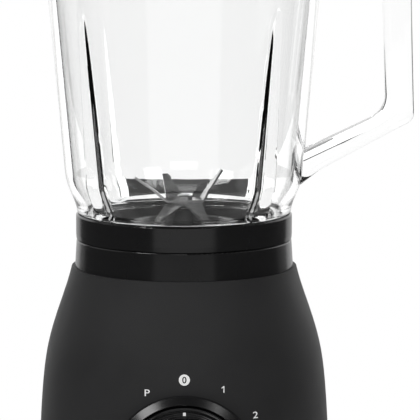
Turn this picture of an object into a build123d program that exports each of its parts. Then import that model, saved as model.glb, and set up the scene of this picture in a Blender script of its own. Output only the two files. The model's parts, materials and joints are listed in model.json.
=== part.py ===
from build123d import *
from math import cos, radians, sin, sqrt, tan
import os

# Countertop blender. Millimetres, +Z up. The origin is on the table, on the drive axis.
# The dial faces -Y, the jar's handle points to +X and its spout to -X.

# ---- overall sizes ----
foot_height = 5.0            # the rubber ring lifts the body off the table
body_height = 165.0          # painted body, from its bottom edge to the seam under the neck ring
body_belly_r = 79.2          # widest
body_foot_r = 77.6
flare_drop = 102.0           # from the seam down to the widest height
neck_height = 15.2
neck_r = 59.6
body_step = 1.8              # the body's top stands out from the neck ring
body_top_r = neck_r + body_step
collar_height = 14.1
collar_step = 0.6            # the collar is a little slimmer than the neck ring
collar_r = neck_r - collar_step
jar_height = 182.0           # from the collar's top to the jar's rim
dial_drop = 98.2             # from the neck seam down to the dial's centre

# ---- walls and clearances ----
body_wall = 2.6
deck_thickness = 3.5
slip = 0.1                   # radial gap between fixed pieces that drop into each other
free_gap = 0.6               # radial gap round a piece that lifts off
running_gap = 0.05           # radial gap of a shaft in its bearing

# ---- heights that follow from them ----
body_z = foot_height
seam_z = body_z + body_height
deck_z = seam_z - deck_thickness          # underside of the deck
neck_z = seam_z + neck_height
collar_z = neck_z + collar_height
rim_z = collar_z + jar_height
dial_z = seam_z - dial_drop

# ---- neck ring and its keys ----
neck_wall = 4.4
neck_top_inset = 0.9
neck_spigot_depth = 1.5
key_count = 4
key_width = 8.0
key_depth = 1.3
neck_bore_r = neck_r - neck_wall
neck_spigot_step = 3.4       # from the ring's outside in to the spigot's
spigot_r = neck_r - neck_spigot_step

# ---- bottom cover and foot ----
cover_thickness = 3.0
cover_inset = 2.0
cover_r = body_foot_r - body_wall - cover_inset
foot_outer_r = 70.0
foot_inner_r = 60.0
foot_seat = 1.2              # depth of the groove that holds the foot ring
bottom_screw_circle_r = 50.0
bottom_boss_r = 5.0
bottom_boss_height = 16.0
screw_count = 4
m4_r = 2.0
m4_head_r = 3.8
m4_head_height = 2.4

# ---- dial ----
knob_r = 34.4
knob_gap = 0.8               # round the knob, inside the bezel
bezel_width = 4.4
bezel_bore_r = knob_r + knob_gap
bezel_r = bezel_bore_r + bezel_width
bezel_stand = 4.8            # the bezel's front ahead of the belly
bezel_front_y = -body_belly_r - bezel_stand
bezel_bevel_depth = 2.9
bezel_sleeve_wall = 0.9
bezel_depth = 22.0           # from the bezel's front to the floor that holds the switch
bezel_floor_y = bezel_front_y + bezel_depth
bezel_floor_thickness = 2.0
knob_face_y = bezel_front_y + 1.0
knob_shell = 2.2
knob_rim_depth = 12.0
knob_grip_step = 6.2         # flat face between the rim and the grip
knob_grip_r = knob_r - knob_grip_step
knob_grip_height = 9.0
knob_grip_cove = 1.0         # hollow corner at the grip's foot
knob_hub_r = 6.0
knob_inlay_r = knob_grip_r - 5.2
knob_inlay_thickness = 0.8
groove_r = knob_r - 2.4
groove_width = 0.6
groove_depth = 0.4
pointer_r = knob_r - 3.8
pointer_width = 1.5
pointer_length = 1.7
spindle_r = 3.0
spindle_flat = 0.8
switch_side = 28.0
switch_depth = 13.0
switch_bush_r = 5.0
switch_nut_thickness = 2.4

# ---- cord gland ----
gland_z = 20.0
gland_bore_r = 3.6
gland_barrel_r = 6.0
gland_flange_r = 8.5
gland_stand = 2.3
gland_length = 13.5
gland_outer_y = body_belly_r + gland_stand
gland_inner_y = gland_outer_y - gland_length
gland_nut_thickness = 3.2

# ---- motor ----
shaft_r = 4.0
shaft_low_z = 16.0
stator_r = 38.0
stator_bore_r = 20.4
stator_low_z = 75.0
stator_height = 40.0
armature_gap = 0.7
armature_slots = 12
coil_inner_r = 22.5
coil_outer_r = 29.0
coil_overhang = 8.0
coil_half_angle = 60.0
pole_half_angle = 38.0
plate_thickness = 4.0
bracket_gap = 13.0           # stator to upper bracket plate
lower_bracket_gap = 29.0     # stator to lower bracket plate, with the brushes between
post_circle_r = 33.0
post_r = 3.6
bolt_r = 2.0
bearing_r = 11.0
bearing_width = 7.0
bearing_land = 1.5
hub_r = 14.0
ear_circle_r = 46.0
ear_r = 9.0
grommet_waist_r = 6.0
grommet_flange_r = 8.0
grommet_flange = 3.0
motor_screw_r = 2.4
motor_screw_reach = 25.0
boss_r = 5.5
commutator_r = 12.0
commutator_bars = 16
commutator_low_z = 52.0
commutator_height = 12.0
brush_width = 6.8
brush_height = 8.0
brush_length = 16.0
brush_gap = 0.3
holder_wall = 2.2
holder_length = 20.0
fan_r = 34.0
fan_low_z = 18.0
fan_height = 13.0
fan_blades = 12

# ---- coupling between motor and jar ----
coupling_lobes = 6
coupling_lobe_r = 12.0
coupling_root_r = 9.0
coupling_lobe_width = 5.0
coupling_gap = 0.4
coupling_disc_r = 13.0
jar_coupling_r = 17.0
deck_seal_r = 11.0
deck_seal_lip = 1.5

# ---- collar, gasket and blade carrier ----
skirt_depth = 9.7            # how far the collar reaches down into the neck ring
shadow_gap = 0.5
skirt_wall = 2.2
skirt_r = neck_bore_r - free_gap
collar_bore_r = skirt_r - skirt_wall
collar_lining = 1.4          # extra wall of the skirt below the floor
collar_floor = 3.0
collar_floor_bore_r = 40.0
lug_count = 4
lug_angle = 34.0
lug_height = 3.5
glass_neck_length = 11.3     # glass below the collar's top
lug_reach = 3.0              # lugs and lips fill this gap between the glass neck and the collar
glass_neck_r = collar_bore_r - lug_reach
glass_neck_wall = 4.8
glass_bore_r = glass_neck_r - glass_neck_wall
gasket_thickness = 3.0
carrier_flange = 3.0
carrier_rise = 9.5           # plateau above the carrier's flange
carrier_plateau_r = 30.0
carrier_recess_r = 24.4
carrier_edge = 0.45          # soft edges of the plateau
carrier_hub_r = 12.0
carrier_hub_top_r = 9.0
carrier_hub_rise = 3.5       # the hub's top above the collar's top
bush_wall = 2.5
bush_r = shaft_r + bush_wall
bush_length = 5.0
seal_length = 4.0

# ---- blades ----
blade_thickness = 1.2
blade_bore_r = 3.05
blade_half_width = 5.6
blade_bend_r = 10.0
tooth_depth = 1.5
nut_across_flats = 8.0
nut_height = 1.8
washer_thickness = 0.8

# ---- glass ----
glass_wall = 4.6
shoulder_r = collar_r - 0.6
shoulder_swell = 4.392       # the jar's cone, carried down to the collar, is this much wider
shoulder_gap = 0.35          # glass shoulder above the collar
straight_from = 34.0         # above this height over the collar the jar is a plain cone
jar_slope = 0.094            # growth of radius with height on that cone
jar_rim_r = shoulder_r + shoulder_swell + jar_slope * jar_height
rib_angles = (39.8, 134.4, 219.8, 314.4)
rib_top = 114.0
rib_depth = 8.0
rib_half_width = 7.0
handle_width = 19.0
handle_round = 4.2
handle_reach = jar_rim_r + 44.1
handle_low = 14.5            # heights over the collar's top
handle_high = jar_height - 6.0
handle_bar = 15.0
spout_reach = 7.0
spout_drop = 30.0
spout_r = 17.0

# ---- lid and measuring cap ----
lid_gap = 0.35
lid_flange = 5.5
lid_rise = 13.0
lid_wall = 2.6
lid_plug_depth = 15.0
lid_hole_r = 22.0
seal_section = 5.0
cap_gap = 0.6
cap_wall = 2.3
cap_flange_r = 28.0
cap_height = 12.0
cap_plug_depth = 20.0

# ---- jar interlock ----
plunger_angle = 67.0
plunger_r = 2.0
plunger_flange_r = 4.2
plunger_gap = 0.1
guide_drop = 14.5            # spring seat below the deck's underside
guide_thickness = 3.0
spring_length = 8.0
spring_wire_r = 0.4
spring_turns = 5
micro_switch_height = 11.0


def ring(outer_r, inner_r, low, high):
    """Flat ring about the drive axis."""
    section = Circle(outer_r) - Circle(inner_r)
    return extrude(Plane.XY.offset(low) * section, high - low)


def disc(radius, low, high, x=0.0, y=0.0):
    return Pos(x, y, low) * extrude(Circle(radius), high - low)


def block(low, high):
    """Box from one corner to the opposite one."""
    size = [b - a for a, b in zip(low, high)]
    return Pos(*low) * Box(*size, align=(Align.MIN, Align.MIN, Align.MIN))


def turned(points):
    """Solid of revolution about Z from (radius, height) points."""
    return revolve(make_face(Polyline(*[(r, 0, z) for r, z in points], close=True)), Axis.Z)


def dial_turned(points):
    """Solid of revolution about the dial's axis from (radius, y) points."""
    return Pos(0, 0, dial_z) * revolve(make_face(Polyline(*points, close=True)), Axis.Y)


def dial_disc(radius, front_y, back_y):
    return dial_turned([(0, front_y), (radius, front_y), (radius, back_y), (0, back_y)])


def around(shape, count, start=0.0):
    """Copies of a shape spaced evenly about the drive axis."""
    return [Rot(0, 0, start + 360.0 * i / count) * shape for i in range(count)]


def group(shapes):
    """Separate identical solids that share one node."""
    return Compound(children=[solid for shape in shapes for solid in shape.solids()])


def sector(radius, half_angle, low, high, inner_r=0.0):
    """Wedge of a disc or ring, centred on +X."""
    outer = [
        (radius * cos(radians(a)), radius * sin(radians(a)))
        for a in (-half_angle, 0, half_angle)
    ]
    if inner_r:
        inner = [(x * inner_r / radius, y * inner_r / radius) for x, y in outer]
        edges = [
            ThreePointArc(*outer),
            Line(outer[2], inner[2]),
            ThreePointArc(*reversed(inner)),
            Line(inner[0], outer[0]),
        ]
    else:
        edges = [ThreePointArc(*outer), Line(outer[2], (0, 0)), Line((0, 0), outer[0])]
    return extrude(Plane.XY.offset(low) * make_face(edges), high - low)


def hexagon(across_flats, low, high):
    plan = RegularPolygon(across_flats / 2, 6, major_radius=False)
    return extrude(Plane.XY.offset(low) * plan, high - low)


def screw(shank_r, head_r, head_height, seat_z, reach, up=1):
    """Pan-head screw on the drive axis: its head's underside is at seat_z and its shank goes up or down."""
    head = fillet_rims(disc(head_r, seat_z - head_height, seat_z), head_height * 0.3, lowest=True)
    arm, low, high = head_r * 0.6, seat_z - head_height, seat_z - head_height * 0.6
    head -= block((-arm, -0.4, low), (arm, 0.4, high))
    head -= block((-0.4, -arm, low), (0.4, arm, high))
    body = head + disc(shank_r, seat_z, seat_z + reach)
    return body if up > 0 else mirror(body, Plane.XY.offset(seat_z))


def fillet_rims(shape, radius, lowest=False):
    """Round the circular edges of the shape's highest or lowest face."""
    faces = shape.faces().sort_by(Axis.Z)
    face = faces[0] if lowest else faces[-1]
    return fillet(face.edges(), radius)


# ---- body ----

def body_outline(inset=0.0):
    """Half outline of the body: an S-curve from the seam out to the belly and in again to the foot."""
    flare = body_belly_r - body_top_r
    shape = [(0.0, 0.0), (0.39, 0.216), (0.743, 0.431), (0.905, 0.647), (1.0, 1.0)]
    knots = [(body_top_r + share * flare - inset, seam_z - down * flare_drop) for share, down in shape]
    knots.append((body_foot_r - inset, body_z + 6))
    return [(r, 0, z) for r, z in knots]


def body_envelope(inset=0.0, low=body_z, high=seam_z):
    """Solid inside the body's outline, moved in by inset, between two heights."""
    curve = Spline(*body_outline(inset), tangents=[(0.24, 0, -1), (-0.05, 0, -1)])
    top, bottom = curve @ 0, curve @ 1
    rest = Polyline(
        (bottom.X, 0, bottom.Z), (bottom.X - 1.6, 0, body_z - 1), (0, 0, body_z - 1),
        (0, 0, seam_z), (top.X, 0, top.Z),
    )
    solid = revolve(make_face([*curve.edges(), *rest.edges()]), Axis.Z)
    return solid & disc(2 * body_belly_r, low, high)


def wall_r(height):
    """The body's outer radius at a height, read off its outline."""
    curve = Spline(*body_outline(), tangents=[(0.24, 0, -1), (-0.05, 0, -1)])
    cut = curve.intersect(Plane.XY.offset(height))
    return (cut[0] if isinstance(cut, (list, ShapeList)) else cut).center().X


cover_top_z = body_z + cover_thickness
guide_z = deck_z - guide_drop
upper_plate_z = stator_low_z + stator_height + bracket_gap
lower_plate_z = stator_low_z - lower_bracket_gap - plate_thickness
boss_low_z = upper_plate_z + plate_thickness + grommet_flange
plunger_circle_r = (collar_bore_r - collar_lining + skirt_r - key_depth) / 2
neck_screw_circle_r = neck_r - 2.4
neck_screw_r = 1.5
neck_screw_reach = 11.0


def make_base_housing():
    shell = body_envelope() - body_envelope(body_wall, body_z - 1, deck_z)
    core = body_envelope(body_wall * 0.5)
    # bosses for the bottom screws, each on a web from the wall
    lower_boss = disc(bottom_boss_r, cover_top_z, cover_top_z + bottom_boss_height, bottom_screw_circle_r)
    web = block((bottom_screw_circle_r, -1.2, cover_top_z),
                (body_belly_r, 1.2, cover_top_z + bottom_boss_height))
    pilot = disc(m4_r + slip, cover_top_z - 1, cover_top_z + bottom_boss_height - 2, bottom_screw_circle_r)
    for piece in around((lower_boss + (web & core)) - pilot, screw_count, 45):
        shell += piece
    # bosses that hang the motor from the deck
    boss = disc(boss_r, boss_low_z, deck_z + 0.5, ear_circle_r)
    boss -= disc(motor_screw_r + slip, boss_low_z - 1, upper_plate_z + motor_screw_reach, ear_circle_r)
    for piece in around(boss, 4):
        shell += piece
    # shelf that guides the interlock plunger
    shelf = block((plunger_circle_r - 6, -6, guide_z - guide_thickness), (body_belly_r, 6, guide_z)) & core
    shell += Rot(0, 0, plunger_angle) * shelf
    guide = disc(plunger_r + 0.4, guide_z - guide_thickness - 1, seam_z + 1, plunger_circle_r)
    shell -= Rot(0, 0, plunger_angle) * guide
    # openings: shaft, neck screws, neck spigot groove, dial, gland
    shell -= disc(deck_seal_r - 2, deck_z - 1, seam_z + 1)
    for hole in around(disc(neck_screw_r + slip, deck_z - 1, seam_z + 1, neck_screw_circle_r), 4, 45):
        shell -= hole
    shell -= ring(spigot_r + slip, neck_bore_r - slip, seam_z - neck_spigot_depth - slip, seam_z + 1)
    shell -= dial_disc(bezel_bore_r + bezel_sleeve_wall + slip, -2 * body_belly_r, bezel_floor_y)
    shell -= Pos(0, body_belly_r, gland_z) * Rot(90, 0, 0) * Cylinder(gland_barrel_r + slip, 40)
    return shell


def make_neck_ring():
    body = turned([
        (neck_bore_r, seam_z - neck_spigot_depth), (spigot_r, seam_z - neck_spigot_depth),
        (spigot_r, seam_z), (neck_r, seam_z), (neck_r - neck_top_inset, neck_z), (neck_bore_r, neck_z),
    ])
    rim = body.edges().filter_by(GeomType.CIRCLE).group_by(Axis.Z)[-1]
    body = fillet(rim, 0.9)
    key = block((neck_bore_r - key_depth, -key_width / 2, seam_z + 1),
                (neck_bore_r + 1, key_width / 2, neck_z - 2))
    for piece in around(key, key_count):
        body += piece
    pilot = disc(neck_screw_r + slip, seam_z - 3, seam_z + neck_screw_reach - 2, neck_screw_circle_r)
    for hole in around(pilot, screw_count, 45):
        body -= hole
    return body


def make_bottom_cover():
    cover = disc(cover_r, body_z, cover_top_z)
    cover -= ring(foot_outer_r + slip, foot_inner_r - slip, body_z - 1, body_z + foot_seat)
    slot = Pos(34, 0, body_z - 1) * extrude(SlotCenterToCenter(16, 3.2), cover_thickness + 2)
    for cut in around(slot, 24):
        cover -= cut
    hole = disc(m4_r + slip, body_z - 1, cover_top_z + 1, bottom_screw_circle_r)
    sink = disc(m4_head_r + 0.4, body_z - 1, body_z + m4_head_height * 0.5, bottom_screw_circle_r)
    for cut in around(hole + sink, screw_count, 45):
        cover -= cut
    return cover


def make_foot_ring():
    foot = ring(foot_outer_r, foot_inner_r, 0, body_z + foot_seat)
    foot = fillet(foot.edges().group_by(Axis.Z)[0], 1.0)
    groove = ring(foot_outer_r + 1, foot_outer_r - 0.8, foot_height * 0.45, foot_height * 0.65)
    return foot - groove


# ---- dial ----

def make_dial_bezel():
    sleeve_r = bezel_bore_r + bezel_sleeve_wall
    flange = dial_turned([
        (bezel_bore_r, bezel_front_y + 0.5), (bezel_bore_r + 0.5, bezel_front_y),
        (bezel_r, bezel_front_y + bezel_bevel_depth), (bezel_r, -body_belly_r / 2),
        (bezel_bore_r, -body_belly_r / 2),
    ]) - body_envelope(-slip)
    sleeve = dial_turned([
        (bezel_bore_r, bezel_front_y + 6), (sleeve_r, bezel_front_y + 6), (sleeve_r, bezel_floor_y),
        (bezel_bore_r, bezel_floor_y),
    ])
    floor = dial_disc(sleeve_r, bezel_floor_y - bezel_floor_thickness, bezel_floor_y)
    floor -= dial_disc(switch_bush_r + slip, bezel_floor_y - 10, bezel_floor_y + 1)
    return flange + sleeve + floor


nut_front_y = bezel_floor_y - bezel_floor_thickness - switch_nut_thickness
hub_back_y = nut_front_y - 0.6
spindle_front_y = knob_face_y + 1.0


def make_rotary_switch():
    half = switch_side / 2
    body = block((-half, bezel_floor_y, dial_z - half), (half, bezel_floor_y + switch_depth, dial_z + half))
    body += dial_disc(switch_bush_r, nut_front_y - 0.4, bezel_floor_y)
    body -= dial_disc(spindle_r + running_gap, nut_front_y - 1, bezel_floor_y + switch_depth - 2)
    for side in (-1, 0, 1):
        x = side * 8.0
        body += block((x - 2.4, bezel_floor_y + switch_depth, dial_z - half + 4),
                      (x + 2.4, bezel_floor_y + switch_depth + 6, dial_z - half + 4.8))
    return body


def make_switch_nut():
    plan = Plane.XZ.offset(-nut_front_y) * RegularPolygon(8, 6)
    nut = Pos(0, 0, dial_z) * extrude(plan, -switch_nut_thickness)
    return nut - dial_disc(switch_bush_r + slip, nut_front_y - 1, nut_front_y + 6)


def make_switch_spindle():
    spindle = dial_disc(spindle_r, spindle_front_y, bezel_floor_y + switch_depth - 3)
    flat = block((-spindle_r, spindle_front_y - 1, dial_z + spindle_r - spindle_flat),
                 (spindle_r, hub_back_y, dial_z + spindle_r + 1))
    return spindle - flat


def make_control_knob():
    face, grip_y = knob_face_y, knob_face_y - knob_grip_height
    back = face + knob_shell
    knob = dial_turned([
        (0, grip_y), (knob_grip_r - 4.2, grip_y), (knob_grip_r - 2.2, grip_y + 0.5),
        (knob_grip_r - 0.8, grip_y + 2.0), (knob_grip_r, face - knob_grip_cove),
        (knob_grip_r + 0.3 * knob_grip_cove, face - 0.3 * knob_grip_cove),
        (knob_grip_r + knob_grip_cove, face),
        (groove_r - groove_width / 2, face), (groove_r - groove_width / 4, face + groove_depth),
        (groove_r + groove_width / 4, face + groove_depth), (groove_r + groove_width / 2, face),
        (knob_r - 0.8, face), (knob_r, face + 0.8),
        (knob_r, face + knob_rim_depth), (knob_r - knob_shell, face + knob_rim_depth),
        (knob_r - knob_shell, back), (knob_grip_r - knob_shell, back),
        (knob_grip_r - knob_shell - 1, grip_y + knob_shell), (knob_hub_r, grip_y + knob_shell),
        (knob_hub_r, hub_back_y), (0, hub_back_y),
    ])
    bore = dial_disc(spindle_r + 0.02, spindle_front_y - 0.5, hub_back_y + 1)
    flat = block((-spindle_r, spindle_front_y - 0.5, dial_z + spindle_r - spindle_flat + 0.05),
                 (spindle_r, hub_back_y, dial_z + spindle_r + 1))
    knob -= bore - flat
    return knob - dial_disc(knob_inlay_r + slip, grip_y - 1, grip_y + knob_inlay_thickness)


def make_knob_inlay():
    grip_y = knob_face_y - knob_grip_height
    return dial_turned([
        (0, grip_y - 0.5), (knob_inlay_r - 1.5, grip_y - 0.3), (knob_inlay_r, grip_y + 0.2),
        (knob_inlay_r, grip_y + knob_inlay_thickness), (0, grip_y + knob_inlay_thickness),
    ])


def make_knob_pointer():
    low = dial_z + pointer_r - pointer_length / 2
    half = pointer_width / 2
    return block((-half, knob_face_y - 0.3, low), (half, knob_face_y, low + pointer_length))


# ---- cord gland ----

def make_cord_gland():
    def along_y(radius, start, end):
        return Pos(0, start, gland_z) * Rot(-90, 0, 0) * extrude(Circle(radius), end - start)
    flange = along_y(gland_flange_r, gland_outer_y - 8, gland_outer_y) - body_envelope(-slip)
    front = flange.edges().sort_by(Axis.Y)[-1]
    flange = fillet(front, 1.0)
    gland = flange + along_y(gland_barrel_r, gland_inner_y, gland_outer_y - 2)
    return gland - along_y(gland_bore_r, gland_inner_y - 1, gland_outer_y + 1)


def make_gland_nut():
    start = wall_r(gland_z) - body_wall - 3.0
    nut = Pos(0, start, gland_z) * Rot(90, 0, 0) * extrude(RegularPolygon(9, 6), gland_nut_thickness)
    hole = Pos(0, start, gland_z) * Rot(90, 0, 0) * Cylinder(gland_barrel_r + slip, 20)
    return nut - hole


# ---- motor ----

def make_bracket(plate_z, post_end_z, ears):
    """Cast end plate: bearing hub, windows, four posts to the stator and, on the upper one, four ears."""
    plate = disc(stator_r, plate_z, plate_z + plate_thickness)
    window = sector(28, 30, plate_z - 1, plate_z + plate_thickness + 1, hub_r + 2)
    for cut in around(window, 4, 0):
        plate -= cut
    low, high = sorted((plate_z + (plate_thickness if post_end_z > plate_z else 0), post_end_z))
    post = disc(post_r, low, high, post_circle_r)
    for piece in around(post, 4, 45):
        plate += piece
    if ears:
        ear = disc(ear_r, plate_z, plate_z + plate_thickness, ear_circle_r)
        arm = block((stator_r - 6, -ear_r, plate_z), (ear_circle_r, ear_r, plate_z + plate_thickness))
        for piece in around(ear + arm, 4):
            plate += piece
        eye = disc(grommet_waist_r, plate_z - 1, plate_z + plate_thickness + 1, ear_circle_r)
        for hole in around(eye, 4):
            plate -= hole
    middle = plate_z + plate_thickness / 2
    half = bearing_width / 2 + bearing_land
    plate += disc(hub_r, middle - half, middle + half)
    plate -= disc(bearing_r, middle - bearing_width / 2, middle + bearing_width / 2 + bearing_land + 1)
    plate -= disc(shaft_r + 3, plate_z - 20, plate_z + 20)
    for hole in around(disc(bolt_r + slip, plate_z - 40, plate_z + 40, post_circle_r), 4, 45):
        plate -= hole
    return plate


def make_bearing(plate_z):
    middle = plate_z + plate_thickness / 2
    low, high = middle - bearing_width / 2, middle + bearing_width / 2
    race = ring(bearing_r, shaft_r + running_gap, low, high)
    groove = ring(bearing_r - 2, shaft_r + 2, high - 0.6, high + 1)
    return race - groove - ring(bearing_r - 2, shaft_r + 2, low - 1, low + 0.6)


def make_stator():
    low, high = stator_low_z, stator_low_z + stator_height
    core = ring(stator_r, stator_bore_r, low, high)
    middle = (coil_half_angle + pole_half_angle) / 2
    half = (coil_half_angle - pole_half_angle) / 2 + 0.5
    slot = sector(coil_outer_r + 0.3, half, low - 1, high + 1, coil_inner_r - 0.3)
    for turn in (middle, -middle, 180 + middle, 180 - middle):
        core -= Rot(0, 0, turn) * slot
    for hole in around(disc(bolt_r + slip, low - 1, high + 1, post_circle_r), 4, 45):
        core -= hole
    return core


def make_field_coils():
    low, high = stator_low_z - coil_overhang, stator_low_z + stator_height + coil_overhang
    coil = sector(coil_outer_r, coil_half_angle, low, high, coil_inner_r)
    eye = sector(coil_outer_r + 1, pole_half_angle, stator_low_z - 0.5, stator_low_z + stator_height + 0.5,
                 coil_inner_r - 1)
    return group(around(coil - eye, 2))


def make_motor_bolts():
    top = upper_plate_z + plate_thickness
    bolt = disc(bolt_r, lower_plate_z - 5, top, post_circle_r)
    bolt += Pos(post_circle_r, 0, 0) * hexagon(6.4, top, top + 2.8)
    bolt += Pos(post_circle_r, 0, 0) * hexagon(6.4, lower_plate_z - 3.2, lower_plate_z)
    return group(around(bolt, 4, 45))


def make_grommets():
    low, high = upper_plate_z, upper_plate_z + plate_thickness
    grommet = disc(grommet_waist_r - slip, low, high, ear_circle_r)
    grommet += disc(grommet_flange_r, low - grommet_flange, low, ear_circle_r)
    grommet += disc(grommet_flange_r, high, high + grommet_flange, ear_circle_r)
    grommet -= disc(motor_screw_r + slip, low - 9, high + 9, ear_circle_r)
    return group(around(grommet, 4))


def make_motor_screws():
    seat = upper_plate_z - grommet_flange
    piece = Pos(ear_circle_r, 0, 0) * screw(motor_screw_r, 4.4, 3.0, seat, motor_screw_reach)
    return group(around(piece, 4))


def make_motor_shaft():
    top = drive_top_z - 2
    shaft = disc(shaft_r, shaft_low_z, top)
    return fillet_rims(fillet_rims(shaft, 0.6), 0.6, lowest=True)


def make_armature_core():
    core = ring(stator_bore_r - armature_gap, shaft_r + slip, stator_low_z, stator_low_z + stator_height)
    r = stator_bore_r - armature_gap
    slot = block((r - 1.6, -0.8, stator_low_z - 1), (r + 1, 0.8, stator_low_z + stator_height + 1))
    for cut in around(slot, armature_slots):
        core -= cut
    return core


def make_armature_windings():
    def crown(low, high):
        hoop = ring(17, shaft_r + 3, low, high)
        return fillet(hoop.edges().filter_by(GeomType.CIRCLE).sort_by(SortBy.RADIUS)[-2:], 2.5)
    top = stator_low_z + stator_height
    return group([crown(stator_low_z - 8, stator_low_z), crown(top, top + 8)])


def make_commutator():
    drum = ring(commutator_r, shaft_r + slip, commutator_low_z, commutator_low_z + commutator_height)
    cut = block((commutator_r - 1, -0.3, commutator_low_z - 1),
                (commutator_r + 1, 0.3, commutator_low_z + commutator_height + 1))
    for piece in around(cut, commutator_bars):
        drum -= piece
    return drum


brush_z = commutator_low_z + commutator_height / 2


def make_carbon_brushes():
    start = commutator_r + brush_gap
    brush = block((start, -brush_width / 2, brush_z - brush_height / 2),
                  (start + brush_length, brush_width / 2, brush_z + brush_height / 2))
    return group(around(brush, 2))


def make_brush_holders():
    start, wide, tall = commutator_r + 1.6, brush_width / 2 + slip, brush_height / 2 + slip
    body = block((start, -wide - holder_wall, brush_z - tall - holder_wall),
                 (start + holder_length, wide + holder_wall, brush_z + tall + holder_wall))
    body -= block((start - 1, -wide, brush_z - tall), (start + holder_length - 2, wide, brush_z + tall))
    body += block((start + holder_length - 10, -wide - holder_wall, lower_plate_z + plate_thickness),
                  (start + holder_length, wide + holder_wall, brush_z - tall - holder_wall))
    return group(around(body, 2))


def make_cooling_fan():
    fan = ring(10, shaft_r + slip, fan_low_z, fan_low_z + fan_height)
    fan += ring(fan_r, shaft_r + slip, fan_low_z + fan_height - 2, fan_low_z + fan_height)
    blade = block((9, -0.8, fan_low_z), (fan_r - 0.5, 0.8, fan_low_z + fan_height - 1))
    for piece in around(blade, fan_blades):
        fan += piece
    return fan


# ---- couplings ----

glass_low_z = collar_z - glass_neck_length
carrier_top_z = glass_low_z - gasket_thickness        # top of the carrier's flange
carrier_low_z = carrier_top_z - carrier_flange
collar_floor_z = carrier_low_z - collar_floor
jar_coupling_low_z = carrier_low_z - 5.5
jar_coupling_top_z = carrier_low_z + 2.0
drive_top_z = carrier_low_z - 1.0
recess_top_z = jar_coupling_top_z + 1.5
hub_top_z = collar_z + carrier_hub_rise
blade_z = hub_top_z + 0.3 + washer_thickness


def coupling_star(root_r, lobe_r, lobe_width, low, high):
    star = disc(root_r, low, high)
    lobe = block((0, -lobe_width / 2, low), (lobe_r, lobe_width / 2, high))
    for piece in around(lobe, coupling_lobes):
        star += piece
    return star


def make_drive_coupling():
    low = jar_coupling_low_z - 4.2
    hub = disc(coupling_disc_r, low, low + 2.2)
    hub += coupling_star(coupling_root_r, coupling_lobe_r, coupling_lobe_width, low + 2.2, drive_top_z)
    return hub - disc(shaft_r + slip, low - 1, drive_top_z - 1.9)


def make_jar_coupling():
    cup = disc(jar_coupling_r, jar_coupling_low_z, jar_coupling_top_z)
    cup = fillet(cup.edges().filter_by(GeomType.CIRCLE).group_by(Axis.Z)[0], 0.8)
    socket_top = drive_top_z + 0.8
    star = coupling_star(
        coupling_root_r + coupling_gap, coupling_lobe_r + coupling_gap,
        coupling_lobe_width + 2 * coupling_gap, jar_coupling_low_z - 1, socket_top,
    )
    return cup - star - disc(shaft_r + slip, socket_top - 1, jar_coupling_top_z + 1)


def make_deck_seal():
    seal = ring(deck_seal_r - 2 - slip, shaft_r + 0.3, deck_z - 1.5, seam_z)
    seal += ring(deck_seal_r + 1, shaft_r + 0.3, seam_z, seam_z + deck_seal_lip)
    return seal + ring(deck_seal_r + 1, shaft_r + 0.3, deck_z - 1.5, deck_z)


# ---- interlock ----

skirt_low_z = neck_z - skirt_depth


def make_interlock_plunger():
    top = skirt_low_z - plunger_gap
    flange_z = guide_z + spring_length
    rod = disc(plunger_r, guide_z - guide_thickness - 2, top, plunger_circle_r)
    rod = fillet(rod.edges().group_by(Axis.Z)[-1], 0.8)
    rod += disc(plunger_flange_r, flange_z, flange_z + 1.2, plunger_circle_r)
    return Rot(0, 0, plunger_angle) * rod


def make_interlock_spring():
    coil_r = (plunger_r + plunger_flange_r) / 2 + 0.1
    height = spring_length - 2 * spring_wire_r
    path = Helix(height / spring_turns, height, coil_r)
    wire = sweep(Plane(origin=path @ 0, z_dir=path % 0) * Circle(spring_wire_r), path=path, is_frenet=True)
    return Rot(0, 0, plunger_angle) * (Pos(plunger_circle_r, 0, guide_z + spring_wire_r) * wire)


def make_interlock_switch():
    top = guide_z - guide_thickness
    body = block((plunger_circle_r - 5, -9, top - micro_switch_height), (plunger_circle_r + 5, 9, top))
    body -= disc(plunger_r + 0.6, top - 4.5, top + 1, plunger_circle_r)
    for y in (-6, 6):
        body += block((plunger_circle_r - 2.4, y - 0.4, top - micro_switch_height - 5),
                      (plunger_circle_r + 2.4, y + 0.4, top - micro_switch_height))
    return Rot(0, 0, plunger_angle) * body


# ---- collar and carrier ----

def lug(inner_r, outer_r, low, high, start):
    """Bayonet lug or lip: a short stretch of ring, repeated about the axis."""
    return around(sector(outer_r, lug_angle / 2, low, high, inner_r), lug_count, start)


lip_high_z = collar_z - 1.0
lip_low_z = lip_high_z - 2.6
lug_top_z = lip_low_z - 0.3


def make_lock_collar():
    edge = collar_r - 0.9
    outer = [
        (skirt_r, skirt_low_z), (skirt_r, neck_z), (neck_bore_r + 2.2, neck_z),
        (neck_bore_r + 2.2, neck_z + shadow_gap), (collar_r - 0.2, neck_z + shadow_gap),
        (collar_r, neck_z + 3),
        (collar_r, collar_z - 0.9), (edge, collar_z), (collar_bore_r, collar_z),
    ]
    # the floor that carries the blade carrier stands inside the skirt
    inner = [
        (collar_bore_r, collar_floor_z + collar_floor), (collar_floor_bore_r, collar_floor_z + collar_floor),
        (collar_floor_bore_r, collar_floor_z), (collar_bore_r - collar_lining, collar_floor_z),
        (collar_bore_r - collar_lining, skirt_low_z),
    ]
    collar = turned(outer + inner)
    for piece in lug(glass_neck_r + 0.4, collar_bore_r + 0.5, lip_low_z, lip_high_z, 0):
        collar += piece
    slot = block((skirt_r - key_depth, -key_width / 2 - 0.6, skirt_low_z - 1),
                 (skirt_r + 1, key_width / 2 + 0.6, neck_z - 1.2))
    for cut in around(slot, key_count):
        collar -= cut
    return collar


def make_jar_gasket():
    return ring(collar_bore_r - 0.4, glass_bore_r, carrier_top_z, glass_low_z)


plateau_z = carrier_top_z + carrier_rise


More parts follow.
